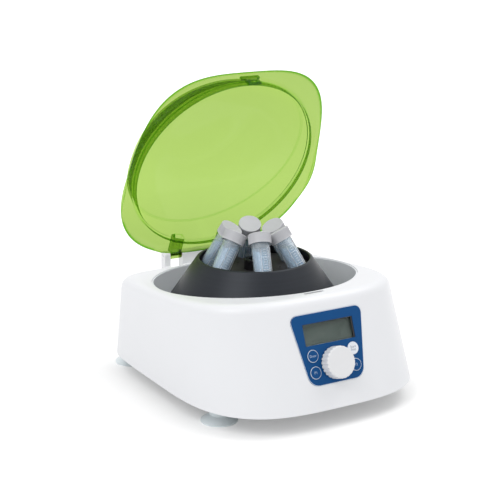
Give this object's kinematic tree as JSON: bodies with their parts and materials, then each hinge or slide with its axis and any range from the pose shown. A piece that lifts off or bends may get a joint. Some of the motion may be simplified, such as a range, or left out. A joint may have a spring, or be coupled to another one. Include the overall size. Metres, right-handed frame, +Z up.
{
  "type": "platelet-rich plasma centrifuge",
  "caption": "Benchtop centrifuge with a hinged tinted dome lid, a conical angle rotor with capped tubes, and a sloping panel with display, keys and knob.",
  "frame": {"origin": "in the plane the feet stand on, at the middle of the outline seen from above", "axes": "+Z up and parallel to the rotor's axis, which stands 12 mm behind the origin; -Y towards the front with the control panel; +X to the user's right"},
  "size_m": [0.335, 0.4207, 0.4272],
  "materials": {
    "casing": "gloss white moulding",
    "underside": "matt light grey",
    "fasteners": "zinc plated steel",
    "foot": "grey-blue, a little translucent",
    "bowl": "satin light grey over drawn steel",
    "motor": "cast, satin",
    "sheet_steel": "plated sheet",
    "damper": "black",
    "bearing": "ground",
    "seal": "black",
    "shaft": "ground",
    "rotor": "slate anodised, fine turning lines",
    "rotor_core": "dark filled nylon, machined on top",
    "rotor_nut": "black",
    "tube": "clear, printed scale and writing patch",
    "cap": "grey, fine vertical ribs",
    "tube_contents": "pale liquid",
    "panel": "blue overlay with a white border line",
    "window": "clear",
    "display": "grey-green display",
    "board": "green circuit board",
    "component": "black",
    "key": "blue with a white ring",
    "key_start": "white with a printed word",
    "knob": "white, scalloped edge",
    "lid": "clear yellow-green",
    "latch_tab": "clear yellow-green",
    "washer": "plain",
    "socket": "black",
    "rocker": "black with printed on and off marks",
    "transformer": "varnished laminations"
  },
  "bodies": {
    "base": {"casing_shell": "casing", "underside_plate": "underside", "underside_screws": "fasteners", "chamber_bowl": "bowl", "bowl_posts": "fasteners", "bowl_screws": "fasteners", "motor_housing": "motor", "motor_mount_plate": "sheet_steel", "motor_dampers": "damper", "motor_bearing": "bearing", "chamber_seal": "seal", "control_panel": "panel", "display_window": "window", "display_module": "display", "control_board": "board", "key_switches": "component", "encoder_body": "component", "hinge_block": "casing", "hinge_pin": "shaft", "hinge_washers": "washer", "lock_solenoid": "sheet_steel", "lock_bracket": "sheet_steel", "lid_switch": "component", "mains_inlet": "socket", "power_switch_frame": "socket", "power_board": "board", "transformer": "transformer", "motor_controller": "component", "imbalance_sensor": "component", "foot_front_left": "foot", "foot_front_right": "foot", "foot_rear_left": "foot", "foot_rear_right": "foot"},
    "lid": {"lid_shell": "lid", "latch_tab": "latch_tab"},
    "rotor": {"rotor_body": "rotor", "rotor_core": "rotor_core", "rotor_nut": "rotor_nut", "motor_shaft": "shaft", "tube_1": "tube", "tube_2": "tube", "tube_3": "tube", "tube_4": "tube", "tube_5": "tube", "tube_6": "tube", "tube_cap_1": "cap", "tube_cap_2": "cap", "tube_cap_3": "cap", "tube_cap_4": "cap", "tube_cap_5": "cap", "tube_cap_6": "cap", "tube_contents": "tube_contents"},
    "knob": {"selector_knob": "knob", "encoder_shaft": "shaft"},
    "open_lid_key": {"key_open_lid": "key"},
    "preset_one_key": {"key_preset_one": "key"},
    "start_stop_key": {"key_start_stop": "key_start"},
    "preset_two_key": {"key_preset_two": "key"},
    "rocker": {"power_rocker": "rocker"},
    "bolt": {"lock_bolt": "shaft"}
  },
  "joints": [
    {"name": "lid_hinge", "type": "hinge", "parent": "base", "child": "lid", "pos_m": [0, 0.1781, 0.1421], "axis": [1, 0, 0], "range_deg": [0, 58.4]},
    {"name": "rotor_spin", "type": "hinge", "parent": "base", "child": "rotor", "pos_m": [0, 0.012, 0.12], "axis": [0, 0, 1], "continuous": true},
    {"name": "knob_turn", "type": "hinge", "parent": "base", "child": "knob", "pos_m": [0, -0.19577, 0.08255], "axis": [0, -0.9388, 0.3445], "continuous": true},
    {"name": "open_lid_press", "type": "slide", "parent": "base", "child": "open_lid_key", "axis": [0, 0.9388, -0.3445], "range_m": [0, 0.0005], "stiffness_N_per_m": 1500},
    {"name": "preset_one_press", "type": "slide", "parent": "base", "child": "preset_one_key", "axis": [0, 0.9388, -0.3445], "range_m": [0, 0.0005], "stiffness_N_per_m": 1500},
    {"name": "start_stop_press", "type": "slide", "parent": "base", "child": "start_stop_key", "axis": [0, 0.9388, -0.3445], "range_m": [0, 0.0005], "stiffness_N_per_m": 1500},
    {"name": "preset_two_press", "type": "slide", "parent": "base", "child": "preset_two_key", "axis": [0, 0.9388, -0.3445], "range_m": [0, 0.0005], "stiffness_N_per_m": 1500},
    {"name": "power_rock", "type": "hinge", "parent": "base", "child": "rocker", "pos_m": [0.105, 0.1636, 0.062], "axis": [1, 0, 0], "range_deg": [-16, 0]},
    {"name": "lock_slide", "type": "slide", "parent": "base", "child": "bolt", "axis": [0, 1, 0], "range_m": [0, 0.005]}
  ]
}
